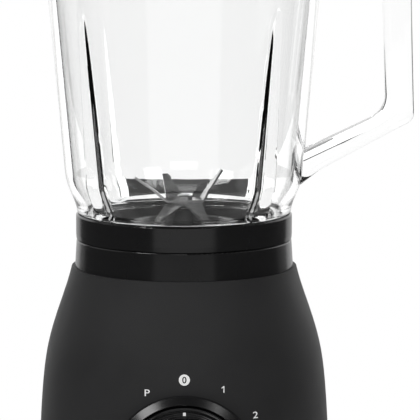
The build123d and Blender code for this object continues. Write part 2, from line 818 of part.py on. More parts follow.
def make_blade_carrier():
    low = carrier_low_z
    side_r = glass_bore_r - 0.5
    carrier = turned([
        (0, low), (collar_bore_r - 0.5, low), (collar_bore_r - 0.5, carrier_top_z), (side_r, carrier_top_z),
        (side_r, plateau_z - 3.4), (side_r - 1, plateau_z - 2.4),
        (carrier_plateau_r + 0.8, plateau_z - 1.2),
        (carrier_plateau_r, plateau_z - carrier_edge), (carrier_plateau_r - carrier_edge, plateau_z),
        (carrier_recess_r + carrier_edge, plateau_z), (carrier_recess_r, plateau_z - carrier_edge),
        (carrier_recess_r - 1, plateau_z - 1.4), (carrier_hub_r + 2, plateau_z - 1.0),
        (carrier_hub_r, plateau_z), (carrier_hub_top_r, hub_top_z - 0.8),
        (carrier_hub_top_r - 0.8, hub_top_z),
        (0, hub_top_z),
    ])
    carrier -= disc(jar_coupling_r + 2, low - 1, recess_top_z)
    carrier -= ring(side_r - 3, jar_coupling_r + 5, low - 1, plateau_z - 5)
    return carrier - disc(bush_r, low - 1, hub_top_z + 1)


def make_bush(low):
    return ring(bush_r - slip / 2, shaft_r + running_gap, low, low + bush_length)


lower_bush_z = recess_top_z
seal_z = lower_bush_z + bush_length + 0.2
upper_bush_z = hub_top_z - bush_length - 0.4


def make_shaft_seal():
    seal = ring(bush_r - slip / 2, shaft_r + 1.5, seal_z, min(seal_z + seal_length, upper_bush_z - 0.1))
    return seal + ring(bush_r - slip / 2, shaft_r + 2 * running_gap, seal_z, seal_z + 1)


# ---- blades ----

def blade_profile(arms):
    """Side view of a bent strip: arms are (reach, bend angle) for +X, then -X."""
    half = blade_thickness / 2
    upper, lower = [], []
    for side, (reach, angle) in zip((1, -1), arms):
        rise = tan(radians(angle)) * (reach - blade_bend_r)
        mitre = tan(radians(angle / 2)) * half
        tip_x, tip_z = sin(radians(angle)) * half, cos(radians(angle)) * half
        upper.append([(side * (blade_bend_r - mitre), half), (side * (reach - tip_x), rise + tip_z)])
        lower.append([(side * (blade_bend_r + mitre), -half), (side * (reach + tip_x), rise - tip_z)])
    points = [*reversed(upper[1]), *upper[0], *reversed(lower[0]), *lower[1]]
    return extrude(make_face(Polyline(*[(x, 0, z) for x, z in points], close=True)), 20, both=True)


def wing_plan(reach, tip_y, teeth, side):
    """Top view of one wing towards +X: one straight edge, and one plain or with teeth on the given side."""
    root, far = (blade_bend_r - 1, blade_half_width), (reach + 3, side * tip_y + 0.9)
    points = [(0, -blade_half_width), (blade_bend_r, -blade_half_width), (far[0], far[1] - 1.8), far]
    for i in range(teeth, 0, -1):
        share = i / teeth
        x = root[0] + share * (far[0] - root[0])
        y = root[1] + share * (far[1] - root[1])
        points += [(x, y), (x, y - tooth_depth)] if share < 1 else []
    points += [root, (0, blade_half_width)]
    points = [(x, side * y) for x, y in points]
    return extrude(make_face(Polyline(*points, close=True)), 60, both=True)


def make_blade(level, azimuth, arms):
    """Two opposite wings; each arm is (reach, bend angle, tip offset, teeth, toothed side)."""
    strip = blade_profile([(reach, angle) for reach, angle, _, _, _ in arms])
    first, second = [wing_plan(reach, tip_y, teeth, side) for reach, _, tip_y, teeth, side in arms]
    second = Rot(0, 0, 180) * second
    blade = (strip & (first + second)) - disc(blade_bore_r, -5, 5)
    return Pos(0, 0, blade_z + (level + 0.5) * blade_thickness) * Rot(0, 0, azimuth) * blade


def make_blade_shaft():
    step_z = hub_top_z + 0.3
    top = blade_z + 3 * blade_thickness + nut_height
    shaft = disc(shaft_r, drive_top_z + 1.2, step_z) + disc(blade_bore_r - 0.05, step_z, top + 0.4)
    return fillet_rims(shaft, 0.6)


def make_blade_nut():
    low = blade_z + 3 * blade_thickness
    nut = hexagon(nut_across_flats, low, low + nut_height) & turned([
        (0, low), (5, low), (5, low + nut_height - 0.9), (3.7, low + nut_height), (0, low + nut_height),
    ])
    return nut - disc(blade_bore_r, low - 1, low + nut_height + 1)


def make_blade_washer():
    return ring(6.5, blade_bore_r, blade_z - washer_thickness, blade_z)


# ---- jar ----

def jar_outer_r(above):
    return jar_rim_r - jar_slope * (jar_height - above)


def jar_outer_solid():
    z = collar_z
    foot = Spline(
        (shoulder_r, 0, z + 1.2), (shoulder_r + 1.2, 0, z + 6.6), (jar_outer_r(15) - 1.0, 0, z + 15),
        (jar_outer_r(straight_from), 0, z + straight_from), tangents=[(0, 0, 1), (jar_slope, 0, 1)],
    )
    rim_r = jar_rim_r
    rest = Polyline(
        (jar_outer_r(straight_from), 0, z + straight_from), (rim_r, 0, rim_z - 1.6),
        (rim_r - 1.4, 0, rim_z), (0, 0, rim_z), (0, 0, glass_low_z), (glass_neck_r, 0, glass_low_z),
        (glass_neck_r, 0, z + shoulder_gap), (shoulder_r - 0.8, 0, z + shoulder_gap),
        (shoulder_r, 0, z + 1.2),
    )
    return revolve(make_face([*foot.edges(), *rest.edges()]), Axis.Z)


def jar_cavity():
    z = collar_z
    bowl_top = jar_outer_r(straight_from) - glass_wall
    bowl = Spline(
        (glass_bore_r, 0, z - 4), (glass_bore_r + 3.2, 0, z + 1.5),
        (jar_outer_r(8) - glass_wall - 2.8, 0, z + 8), (jar_outer_r(18) - glass_wall - 0.3, 0, z + 18),
        (bowl_top, 0, z + straight_from),
        tangents=[(0, 0, 1), (jar_slope, 0, 1)],
    )
    top_r = jar_rim_r - glass_wall + jar_slope * 2
    rest = Polyline(
        (bowl_top, 0, z + straight_from), (top_r, 0, rim_z + 2), (0, 0, rim_z + 2), (0, 0, glass_low_z - 1),
        (glass_bore_r, 0, glass_low_z - 1), (glass_bore_r, 0, z - 4),
    )
    return revolve(make_face([*bowl.edges(), *rest.edges()]), Axis.Z)


def handle_solid():
    z, reach = collar_z, handle_reach
    inner_x = reach - handle_bar
    outer = FilletPolyline(
        (shoulder_r - 4.4, z + handle_low - 6), (shoulder_r + 15.6, z + handle_low + 9.5),
        (reach + 1.2, z + 51.5), (reach - 2, z + handle_high), (shoulder_r + 1.6, z + handle_high),
        radius=[40, 6, 15],
    )
    outer += Line(outer @ 1, outer @ 0)
    hole = FilletPolyline(
        (shoulder_r - 0.4, z + 31), (inner_x + 0.8, z + 55.5), (inner_x - 2.4, z + handle_high - 17),
        (shoulder_r + 5.6, z + handle_high - 19), radius=[14, 12],
    )
    hole += Line(hole @ 1, hole @ 0)
    plan = make_face(outer.edges()) - make_face(hole.edges())
    solid = extrude(Plane.XZ * plan, handle_width / 2, both=True)
    # the two edges inside the jar's wall stay sharp
    edges = [edge for face in solid.faces().filter_by(Axis.Y) for edge in face.edges()]
    return fillet([edge for edge in edges if edge.center().X > shoulder_r + 4], handle_round)


def spout_cone(grow):
    """Cone that bulges out of the rim on the -X side."""
    low, high = rim_z - spout_drop, rim_z + (2 if grow < 0 else 0)
    top_x = -(jar_rim_r + spout_reach - spout_r)
    low_x = top_x + spout_r * 0.9
    bottom = Plane((low_x, 0, low)) * Circle(3 + max(grow, 0))
    top = Plane((top_x, 0, high)) * Circle(spout_r + grow)
    return loft([bottom.face(), top.face()])


def rib_solid():
    z = collar_z
    low_r, high_r = glass_bore_r + 12.4, jar_outer_r(rib_top) - glass_wall / 2
    apex_r = low_r - rib_depth
    base = Plane((0, 0, z - 1)) * make_face(Polyline(
        (apex_r, 0), (low_r, rib_half_width), (low_r, -rib_half_width), close=True))
    top = Plane((0, 0, z + rib_top)) * make_face(Polyline(
        (high_r - glass_wall / 2 - 0.1, 0), (high_r, 0.8), (high_r, -0.8), close=True))
    return loft([base.face(), top.face()], ruled=True)


def make_glass_jar():
    jar = jar_outer_solid() + handle_solid() + spout_cone(0)
    jar -= jar_cavity()
    jar -= spout_cone(-3.8)
    inside = jar_outer_solid() & disc(jar_rim_r, collar_z + 1.5, rim_z)
    for rib in [Rot(0, 0, angle) * rib_solid() for angle in rib_angles]:
        jar += rib & inside
    for piece in lug(glass_neck_r - 1, collar_bore_r - 0.4, lug_top_z - lug_height, lug_top_z, 0):
        jar += piece
    return jar


# ---- lid and cap ----

def make_lid():
    z = rim_z + lid_gap
    plug_r = jar_rim_r - glass_wall - jar_slope * lid_plug_depth - 0.9
    top = z + lid_rise
    lid = turned([
        (lid_hole_r, top), (lid_hole_r + 9, top), (lid_hole_r + 12, top - 1.2),
        (jar_rim_r - 6, z + lid_flange),
        (jar_rim_r - 1, z + lid_flange - 1.2), (jar_rim_r + 0.6, z + lid_flange - 3), (jar_rim_r + 0.6, z),
        (plug_r, z), (plug_r, z - 4), (plug_r - 1.5, z - 4), (plug_r - 1.5, z - 4 - seal_section),
        (plug_r, z - 4 - seal_section), (plug_r, rim_z - lid_plug_depth),
        (plug_r - lid_wall, rim_z - lid_plug_depth), (plug_r - 4, z), (plug_r - 6, z + 1.6),
        (lid_hole_r + 12, top - 1.2 - lid_wall), (lid_hole_r + lid_wall, top - lid_wall - 1),
        (lid_hole_r + lid_wall, z - 6), (lid_hole_r, z - 6),
    ])
    # tongue over the spout
    tongue = Pos(-(jar_rim_r + spout_reach - spout_r), 0, z) * extrude(Circle(spout_r - 0.5), 4)
    rim = disc(jar_rim_r - 4, z - 1, z + 6)
    return lid + (tongue - rim)


def make_lid_seal():
    z = rim_z + lid_gap - 4
    plug_r = jar_rim_r - glass_wall - jar_slope * lid_plug_depth - 0.9
    seal = ring(plug_r + 0.7, plug_r - 1.5, z - seal_section, z)
    return fillet(seal.edges().filter_by(GeomType.CIRCLE).sort_by(SortBy.RADIUS)[-2:], 0.6)


def make_measuring_cap():
    top = rim_z + lid_gap + lid_rise + 0.3
    r = lid_hole_r - cap_gap
    cap = turned([
        (0, top + cap_height), (r - 2, top + cap_height), (r, top + cap_height - 2), (r + 0.6, top + 3),
        (cap_flange_r - 0.8, top + 3), (cap_flange_r, top + 2.2), (cap_flange_r, top), (r, top),
        (r, top - cap_plug_depth), (r - cap_wall, top - cap_plug_depth),
        (r - cap_wall, top + cap_height - 4),
        (r - cap_wall - 1.5, top + cap_height - 2.5), (0, top + cap_height - 2.5),
    ])
    return cap


def make_neck_screws():
    piece = Pos(neck_screw_circle_r, 0, 0) * screw(neck_screw_r, 2.4, 2.0, deck_z, neck_screw_reach)
    return group(around(piece, 4, 45))


def make_bottom_screws():
    piece = Pos(bottom_screw_circle_r, 0, 0) * screw(
        m4_r, m4_head_r, m4_head_height, body_z + m4_head_height * 0.5, 14.0)
    return group(around(piece, screw_count, 45))


parts = {
    "base_housing": make_base_housing(),
    "neck_ring": make_neck_ring(),
    "neck_screws": make_neck_screws(),
    "bottom_cover": make_bottom_cover(),
    "bottom_screws": make_bottom_screws(),
    "rubber_foot_ring": make_foot_ring(),
    "dial_bezel": make_dial_bezel(),
    "rotary_switch": make_rotary_switch(),
    "switch_nut": make_switch_nut(),
    "cord_gland": make_cord_gland(),
    "gland_nut": make_gland_nut(),
    "deck_seal": make_deck_seal(),
    "motor_upper_bracket": make_bracket(upper_plate_z, stator_low_z + stator_height, True),
    "motor_lower_bracket": make_bracket(lower_plate_z, stator_low_z, False),
    "upper_bearing": make_bearing(upper_plate_z),
    "lower_bearing": make_bearing(lower_plate_z),
    "stator_core": make_stator(),
    "field_coils": make_field_coils(),
    "motor_bolts": make_motor_bolts(),
    "motor_grommets": make_grommets(),
    "motor_screws": make_motor_screws(),
    "brush_holders": make_brush_holders(),
    "carbon_brushes": make_carbon_brushes(),
    "interlock_switch": make_interlock_switch(),
    "interlock_spring": make_interlock_spring(),
    "interlock_plunger": make_interlock_plunger(),
    "motor_shaft": make_motor_shaft(),
    "armature_core": make_armature_core(),
    "armature_windings": make_armature_windings(),
    "commutator": make_commutator(),
    "cooling_fan": make_cooling_fan(),
    "drive_coupling": make_drive_coupling(),
    "control_knob": make_control_knob(),
    "knob_inlay": make_knob_inlay(),
    "knob_pointer": make_knob_pointer(),
    "switch_spindle": make_switch_spindle(),
    "glass_jar": make_glass_jar(),
    "lock_collar": make_lock_collar(),
    "jar_gasket": make_jar_gasket(),
    "blade_carrier": make_blade_carrier(),
    "upper_bush": make_bush(upper_bush_z),
    "lower_bush": make_bush(lower_bush_z),
    "shaft_seal": make_shaft_seal(),
    "blade_shaft": make_blade_shaft(),
    "jar_coupling": make_jar_coupling(),
    "blade_washer": make_blade_washer(),
    "blade_lower": make_blade(0, 54, [(20.5, 40, 0.5, 6, 1), (25.5, -26, 0.0, 0, 1)]),
    "blade_middle": make_blade(1, 118, [(20.5, 50, 1.0, 6, -1), (25.5, -26, 0.0, 0, 1)]),
    "blade_upper": make_blade(2, 9, [(21.0, 55, 0.0, 0, 1), (27.0, 36, 0.0, 0, 1)]),
    "blade_nut": make_blade_nut(),
    "lid": make_lid(),
    "lid_seal": make_lid_seal(),
    "measuring_cap": make_measuring_cap(),
}

os.makedirs("parts", exist_ok=True)
for node, shape in parts.items():
    export_step(shape, f"parts/{node}.step")
print(len(parts), "nodes; rim at", rim_z, "mm")
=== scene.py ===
import bmesh
import bpy
import json
import math
from mathutils import Matrix, Vector
from mathutils.bvhtree import BVHTree


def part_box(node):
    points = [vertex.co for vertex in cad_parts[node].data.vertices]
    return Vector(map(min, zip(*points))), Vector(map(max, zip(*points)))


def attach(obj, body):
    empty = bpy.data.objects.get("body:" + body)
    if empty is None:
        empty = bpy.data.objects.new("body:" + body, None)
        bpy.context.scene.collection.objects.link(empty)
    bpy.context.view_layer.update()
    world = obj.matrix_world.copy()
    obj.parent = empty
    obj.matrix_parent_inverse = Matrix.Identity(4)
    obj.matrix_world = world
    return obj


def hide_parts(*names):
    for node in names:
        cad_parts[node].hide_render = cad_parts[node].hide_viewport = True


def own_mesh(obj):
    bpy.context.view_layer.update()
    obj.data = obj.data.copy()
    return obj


# Countertop blender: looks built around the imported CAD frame. Metres, the CAD's own axes.
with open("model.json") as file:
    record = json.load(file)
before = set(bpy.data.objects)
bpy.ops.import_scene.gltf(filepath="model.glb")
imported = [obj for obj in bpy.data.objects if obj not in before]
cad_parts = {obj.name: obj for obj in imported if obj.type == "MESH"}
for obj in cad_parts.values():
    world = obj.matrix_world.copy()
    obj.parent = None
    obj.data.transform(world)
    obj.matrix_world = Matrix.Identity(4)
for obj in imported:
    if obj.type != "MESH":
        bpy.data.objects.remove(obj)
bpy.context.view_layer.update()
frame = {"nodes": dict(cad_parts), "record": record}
nodes = frame["nodes"]
MM = 0.001

# ---- places read from the frame ----
jar_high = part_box("glass_jar")[1]
bezel_low, bezel_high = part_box("dial_bezel")
DIAL_Z = (bezel_low.z + bezel_high.z) / 2
COLLAR_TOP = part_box("lock_collar")[1].z



# ---- helpers ----

def add_object(name, data):
    piece = bpy.data.objects.new(name, data)
    bpy.context.scene.collection.objects.link(piece)
    return piece


def add_mesh(name, mesh):
    """Object from a bmesh, which is freed."""
    data = bpy.data.meshes.new(name)
    mesh.to_mesh(data)
    mesh.free()
    return add_object(name, data)


def on_circle(radius, k, sides):
    """Point k of a circle divided into equal sides, as (x, y)."""
    angle = 2 * math.pi * k / sides
    return radius * math.cos(angle), radius * math.sin(angle)


def join_rows(mesh, first, second):
    """Band of faces between two closed rows of vertices."""
    for k in range(len(first)):
        nxt = (k + 1) % len(first)
        mesh.faces.new((first[k], first[nxt], second[nxt], second[k]))


def node_mesh(node):
    """A CAD node's vertices in the shared frame, and its faces."""
    source = nodes[node]
    verts = [source.matrix_world @ v.co for v in source.data.vertices]
    return verts, [tuple(p.vertices) for p in source.data.polygons]


# ---- camera: a long lens a little above the collar, as in the photograph ----
CAMERA_ELEVATION = 8.1
CAMERA_AZIMUTH = 0.4
CAMERA_DISTANCE = 2.6
FRAME_WIDTH = 0.2295
SENSOR = 36.0
CLIP_NEAR, CLIP_FAR = 0.05, 60
AIM = Vector((14.2 * MM, 0.0, COLLAR_TOP + 1.1 * MM))


def make_camera():
    camera = add_object("camera", bpy.data.cameras.new("camera"))
    tilt = math.radians(CAMERA_ELEVATION)
    side = math.radians(CAMERA_AZIMUTH)
    back = Vector((-math.sin(side) * math.cos(tilt), -math.cos(side) * math.cos(tilt), math.sin(tilt)))
    camera.location = AIM + back * CAMERA_DISTANCE
    camera.rotation_mode = "QUATERNION"
    camera.rotation_quaternion = (-back).to_track_quat("-Z", "Y")
    camera.data.sensor_width = SENSOR
    camera.data.lens = SENSOR * CAMERA_DISTANCE / FRAME_WIDTH
    camera.data.clip_start, camera.data.clip_end = CLIP_NEAR, CLIP_FAR
    bpy.context.scene.camera = camera
    return camera


# ---- studio ----

ROOM_LEVEL = 0.06
BACKDROP_DISTANCE = 12.0
BACKDROP_LEFT, BACKDROP_RIGHT, BACKDROP_TOP = -11.0, 17.0, 13.0
BACKDROP_FOOT = 0.052            # foot of the upper panel, over the camera's axis
LOWER_LEFT, LOWER_RIGHT, LOWER_FOOT = -6.5, 7.5, -9.5
GAP_LEFT, GAP_RIGHT = -0.60, 0.47
LOWER_RADIANCE = 0.6
GLOW_RADIANCE = 0.72
GLOW_AHEAD = 0.02
FLOOR_R = 0.42
FLOOR_RINGS, FLOOR_SIDES = 24, 96


def area_light(name, location, target, size, radiance, parent=None):
    """Soft box of a given radiance, so that its size can change without changing how bright it looks."""
    data = bpy.data.lights.new(name, "AREA")
    data.shape = "RECTANGLE"
    data.size, data.size_y = size
    data.energy = radiance * math.pi * size[0] * size[1]
    light = add_object(name, data)
    light.location = location
    light.rotation_mode = "QUATERNION"
    light.rotation_quaternion = (Vector(target) - Vector(location)).to_track_quat("-Z", "Y")
    light.visible_camera = False
    if parent:
        light.parent = parent
    return light


def make_world():
    """White to the camera, a dim grey room to everything else."""
    world = bpy.data.worlds.new("studio")
    bpy.context.scene.world = world
    world.use_nodes = True
    tree = world.node_tree
    tree.nodes.clear()
    out = tree.nodes.new("ShaderNodeOutputWorld")
    mix = tree.nodes.new("ShaderNodeMixShader")
    path = tree.nodes.new("ShaderNodeLightPath")
    room = tree.nodes.new("ShaderNodeBackground")
    backdrop = tree.nodes.new("ShaderNodeBackground")
    room.inputs["Color"].default_value = (1, 1, 1, 1)
    room.inputs["Strength"].default_value = ROOM_LEVEL
    backdrop.inputs["Color"].default_value = (1, 1, 1, 1)
    backdrop.inputs["Strength"].default_value = 1.0
    tree.links.new(path.outputs["Is Camera Ray"], mix.inputs["Fac"])
    tree.links.new(room.outputs["Background"], mix.inputs[1])
    tree.links.new(backdrop.outputs["Background"], mix.inputs[2])
    tree.links.new(mix.outputs["Shader"], out.inputs["Surface"])


def back_panel(name, low, high, distance, radiance, camera):
    """Panel behind the object, from corner to corner in the camera's own directions."""
    x, y = (low[0] + high[0]) / 2, (low[1] + high[1]) / 2
    size = (high[0] - low[0], high[1] - low[1])
    return area_light(name, (x, y, -distance), (x, y, 0), size, radiance, parent=camera)


def make_studio(camera):
    make_world()
    bpy.context.scene.view_settings.view_transform = "Standard"
    # white backdrop far behind the object, carried by the camera so that the glass has it in every view
    back_panel("backdrop", (BACKDROP_LEFT, BACKDROP_FOOT), (BACKDROP_RIGHT, BACKDROP_TOP), BACKDROP_DISTANCE,
               1.0, camera)
    # its foot leaves a dark gap behind the jar's bottom, between two lower panels
    # the glow panels stand just before those, and only light that passes through the glass meets them
    lower = (("left", LOWER_LEFT, GAP_LEFT), ("right", GAP_RIGHT, LOWER_RIGHT))
    for side, low, high in lower:
        back_panel("backdrop_" + side, (low, LOWER_FOOT), (high, BACKDROP_FOOT), BACKDROP_DISTANCE,
                   LOWER_RADIANCE, camera)
    for side, low, high in lower:
        glow = back_panel("glow_" + side, (low, LOWER_FOOT), (high, BACKDROP_FOOT),
                          BACKDROP_DISTANCE - GLOW_AHEAD, GLOW_RADIANCE, camera)
        glow.visible_glossy = False
        glow.visible_diffuse = False
    # side panels over the horizon
    area_light("side_left", (-2.2, 0.3, 1.3), (0, 0, 0.3), (2.2, 2.0), 0.4)
    area_light("side_right", (2.2, 0.3, 1.3), (0, 0, 0.3), (2.2, 2.0), 0.25)
    # two soft boxes high at the sides, and a low one in front that the gloss collar shows
    area_light("key_left", (-1.05, -0.85, 1.45), (0, 0, 0.15), (0.55, 0.55), 8.5)
    area_light("front_soft", (0.0, -2.0, 1.1), (0, 0, 0.12), (1.1, 0.7), 1.9)
    area_light("key_right", (0.95, -1.2, 1.45), (0, 0, 0.15), (0.6, 0.6), 4.2)
    area_light("low_front", (0.0, -1.5, -0.12), (0, 0, 0.2), (1.9, 0.5), 0.5)


def make_floor():
    """Pale round sheet of paper under the object."""
    mesh = bmesh.new()
    centre = mesh.verts.new((0, 0, 0))
    last = None
    for i in range(1, FLOOR_RINGS + 1):
        r = FLOOR_R * i / FLOOR_RINGS
        row = [mesh.verts.new((*on_circle(r, k, FLOOR_SIDES), 0)) for k in range(FLOOR_SIDES)]
        for k in range(FLOOR_SIDES):
            nxt = (k + 1) % FLOOR_SIDES
            if last:
                mesh.faces.new((last[k], row[k], row[nxt], last[nxt]))
            else:
                mesh.faces.new((centre, row[k], row[nxt]))
        last = row
    floor = add_mesh("floor", mesh)
    material, shader, tree = new_material("paper_floor", (0.88, 0.88, 0.88), 0.75)
    add_bump(tree, shader, noise_scale=300, strength=0.02, distance=0.0005)
    floor.data.materials.append(material)


# ---- materials ----

RING_PITCH = 1.05 * MM
RING_DEPTH = 0.14 * MM
NOISE_DETAIL = 3.0
# strength of the print's emission: painted light, not a lamp
PRINT_PAINTED_GLOW = 0.35


def new_material(name, colour, roughness, metallic=0.0, **sockets):
    material = bpy.data.materials.new(name)
    material.use_nodes = True
    tree = material.node_tree
    shader = tree.nodes["Principled BSDF"]
    shader.inputs["Base Color"].default_value = (*colour, 1)
    shader.inputs["Roughness"].default_value = roughness
    shader.inputs["Metallic"].default_value = metallic
    for socket, value in sockets.items():
        shader.inputs[socket.replace("_", " ").title().replace("Ior", "IOR")].default_value = value
    return material, shader, tree


def object_coordinates(tree, scale=(1, 1, 1)):
    coords = tree.nodes.new("ShaderNodeTexCoord")
    mapping = tree.nodes.new("ShaderNodeMapping")
    mapping.inputs["Scale"].default_value = scale
    tree.links.new(coords.outputs["Object"], mapping.inputs["Vector"])
    return mapping.outputs["Vector"]


def noise(tree, scale, stretch=(1, 1, 1)):
    node = tree.nodes.new("ShaderNodeTexNoise")
    node.inputs["Scale"].default_value = scale
    node.inputs["Detail"].default_value = NOISE_DETAIL
    tree.links.new(object_coordinates(tree, stretch), node.inputs["Vector"])
    return node


def add_bump(tree, shader, noise_scale, strength, distance, stretch=(1, 1, 1)):
    """Fine surface grain from noise, through a bump node."""
    grain = noise(tree, noise_scale, stretch)
    bump = tree.nodes.new("ShaderNodeBump")
    bump.inputs["Strength"].default_value = strength
    bump.inputs["Distance"].default_value = distance
    tree.links.new(grain.outputs["Fac"], bump.inputs["Height"])
    tree.links.new(bump.outputs["Normal"], shader.inputs["Normal"])


def vary(tree, source, low, high, socket):
    """Drive a socket from noise between two values."""
    spread = tree.nodes.new("ShaderNodeMapRange")
    spread.inputs["From Min"].default_value = 0.3
    spread.inputs["From Max"].default_value = 0.7
    spread.inputs["To Min"].default_value = low
    spread.inputs["To Max"].default_value = high
    tree.links.new(source, spread.inputs["Value"])
    tree.links.new(spread.outputs["Result"], socket)


def mix_colours(tree, source, dark, light, socket):
    ramp = tree.nodes.new("ShaderNodeValToRGB")
    ramp.color_ramp.elements[0].position = 0.35
    ramp.color_ramp.elements[0].color = (*dark, 1)
    ramp.color_ramp.elements[1].position = 0.65
    ramp.color_ramp.elements[1].color = (*light, 1)
    tree.links.new(source, ramp.inputs["Fac"])
    tree.links.new(ramp.outputs["Color"], socket)


def plastic(name, colour, roughness, grain, strength, spread=0.06, specular=0.5):
    """Moulded plastic: fine grain, slightly uneven gloss and colour."""
    material, shader, tree = new_material(name, colour, roughness)
    shader.inputs["Specular IOR Level"].default_value = specular
    add_bump(tree, shader, grain, strength, 0.0003)
    cloud = noise(tree, 35)
    vary(tree, cloud.outputs["Fac"], roughness - spread, roughness + spread, shader.inputs["Roughness"])
    mix_colours(tree, cloud.outputs["Fac"], [c * 0.93 for c in colour], [c * 1.07 for c in colour],
                shader.inputs["Base Color"])
    return material


def make_turned_plastic():
    """Polished black with fine rings about the dial's axis."""
    material, shader, tree = new_material("knob_black", (0.011, 0.011, 0.0115), 0.14)
    coords = tree.nodes.new("ShaderNodeTexCoord")
    centre = tree.nodes.new("ShaderNodeVectorMath")
    centre.operation = "SUBTRACT"
    centre.inputs[1].default_value = (0, 0, DIAL_Z)
    flat = tree.nodes.new("ShaderNodeVectorMath")
    flat.operation = "MULTIPLY"
    flat.inputs[1].default_value = (1, 0, 1)
    length = tree.nodes.new("ShaderNodeVectorMath")
    length.operation = "LENGTH"
    rings = tree.nodes.new("ShaderNodeMath")
    rings.operation = "MULTIPLY"
    rings.inputs[1].default_value = 2 * math.pi / RING_PITCH
    wave = tree.nodes.new("ShaderNodeMath")
    wave.operation = "SINE"
    bump = tree.nodes.new("ShaderNodeBump")
    bump.inputs["Strength"].default_value = 0.8
    bump.inputs["Distance"].default_value = RING_DEPTH
    tree.links.new(coords.outputs["Object"], centre.inputs[0])
    tree.links.new(centre.outputs["Vector"], flat.inputs[0])
    tree.links.new(flat.outputs["Vector"], length.inputs[0])
    tree.links.new(length.outputs["Value"], rings.inputs[0])
    tree.links.new(rings.outputs["Value"], wave.inputs[0])
    tree.links.new(wave.outputs["Value"], bump.inputs["Height"])
    tree.links.new(bump.outputs["Normal"], shader.inputs["Normal"])
    cloud = noise(tree, 300)
    vary(tree, cloud.outputs["Fac"], 0.11, 0.18, shader.inputs["Roughness"])
    return material


def print_ink_with_painted_glow(name, colour):
    """Pad-printed ink, faintly uneven, with a little emission added: painted light that brightens the white
    print on black.
    """
    material, shader, tree = new_material(name, colour, 0.4)
    cloud = noise(tree, 900)
    mix_colours(tree, cloud.outputs["Fac"], [c * 0.93 for c in colour], colour, shader.inputs["Base Color"])
    add_bump(tree, shader, 1500, 0.1, 0.0002)
    # painted light: the ink emits a little, so it looks brighter than the lamps make it
    shader.inputs["Emission Color"].default_value = (1, 1, 1, 1)
    shader.inputs["Emission Strength"].default_value = PRINT_PAINTED_GLOW
    return material


def metal(name, colour, roughness, brush=(1, 1, 1), grain=900, strength=0.05):
    """Metal with a brushed or cast grain."""
    material, shader, tree = new_material(name, colour, roughness, metallic=1.0)
    add_bump(tree, shader, grain, strength, 0.0002, brush)
    streaks = noise(tree, grain / 4, brush)
    vary(tree, streaks.outputs["Fac"], roughness * 0.75, roughness * 1.3, shader.inputs["Roughness"])
    mix_colours(tree, streaks.outputs["Fac"], [c * 0.9 for c in colour], [min(c * 1.08, 1) for c in colour],
                shader.inputs["Base Color"])
    return material


def make_glass():
    material, shader, tree = new_material("clear_glass", (0.992, 0.994, 0.993), 0.0, ior=1.5,
                                          transmission_weight=1.0)
    add_bump(tree, shader, 14, 0.015, 0.004)
    return material


def make_clear_plastic():
    material, shader, tree = new_material("cap_clear", (0.93, 0.95, 0.96), 0.06, ior=1.49,
                                          transmission_weight=1.0)
    add_bump(tree, shader, 60, 0.02, 0.001)
    return material


def make_materials():
    return {
        "body_black": plastic("body_black", (0.034, 0.034, 0.035), 0.55, 2600, 0.35, 0.04, specular=0.32),
        "gloss_black": plastic("gloss_black", (0.0145, 0.0145, 0.015), 0.17, 90, 0.02, 0.02),
        "knob_black": make_turned_plastic(),
        "bezel_black": plastic("bezel_black", (0.013, 0.013, 0.0135), 0.21, 500, 0.03, 0.03),
        "plastic_black": plastic("plastic_black", (0.028, 0.028, 0.028), 0.45, 1500, 0.25),
        "lid_black": plastic("lid_black", (0.018, 0.018, 0.019), 0.32, 1800, 0.18),
        "rubber_black": plastic("rubber_black", (0.02, 0.02, 0.02), 0.72, 1200, 0.3),
        "seal_clear": plastic("seal_clear", (0.72, 0.72, 0.70), 0.38, 900, 0.1),
        "mark_white": print_ink_with_painted_glow("mark_white", (0.86, 0.86, 0.85)),
        "steel": metal("steel", (0.56, 0.57, 0.58), 0.3),
        "blade_steel": metal("blade_steel", (0.66, 0.66, 0.66), 0.2, (1, 6, 1), 700, 0.04),
        "lamination": metal("lamination", (0.2, 0.2, 0.21), 0.45, (1, 1, 30), 400, 0.3),
        "copper": metal("copper", (0.70, 0.33, 0.17), 0.32, (1, 1, 12), 500, 0.3),
        "brass": metal("brass", (0.75, 0.58, 0.28), 0.3),
        "carbon": plastic("carbon", (0.03, 0.03, 0.032), 0.5, 1500, 0.2),
        "cast_aluminium": metal("cast_aluminium", (0.62, 0.63, 0.64), 0.42, (1, 1, 1), 600, 0.25),
        "clear_glass": make_glass(),
        "cap_clear": make_clear_plastic(),
    }


def dress_nodes(materials):
    """Give each CAD node the material of its record slot, and the bezel its own softer gloss."""
    for part in frame["record"]["subparts"]:
        node = nodes[part["node"]]
        node.data.materials.clear()
        name = "bezel_black" if part["node"] == "dial_bezel" else part["material_slot"]
        node.data.materials.append(materials[name])


# ---- interlock spring ----


def make_spring(materials):
    """Coil of the CAD node's shape, copied as a fixed mesh that rides on the base."""
    verts, faces = node_mesh("interlock_spring")
    coil = mesh_object("spring_coil", verts, faces, materials["steel"])
    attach(coil, "base")
    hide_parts("interlock_spring")
    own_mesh(coil)


# ---- printed scale on the body ----

ZERO_DISC_R = 2.95 * MM
ZERO_DISC_SIDES = 48
ZERO_HEIGHT = 3.6 * MM
LETTER_HEIGHT = 3.55 * MM
LETTER_WIDEN = 1.22
ZERO_BOLD, LETTER_BOLD = 0.02, 0.004
PRINT_LIFT = 0.04 * MM


def lay_on_front(tree, flat, lift):
    """Move flat (x, z) points back along +Y onto the surface, and off it by a small lift."""
    placed = []
    for x, z in flat:
        hit, normal, _, _ = tree.ray_cast(Vector((x, -1, z)), Vector((0, 1, 0)))
        placed.append(hit + normal * lift)
    return placed


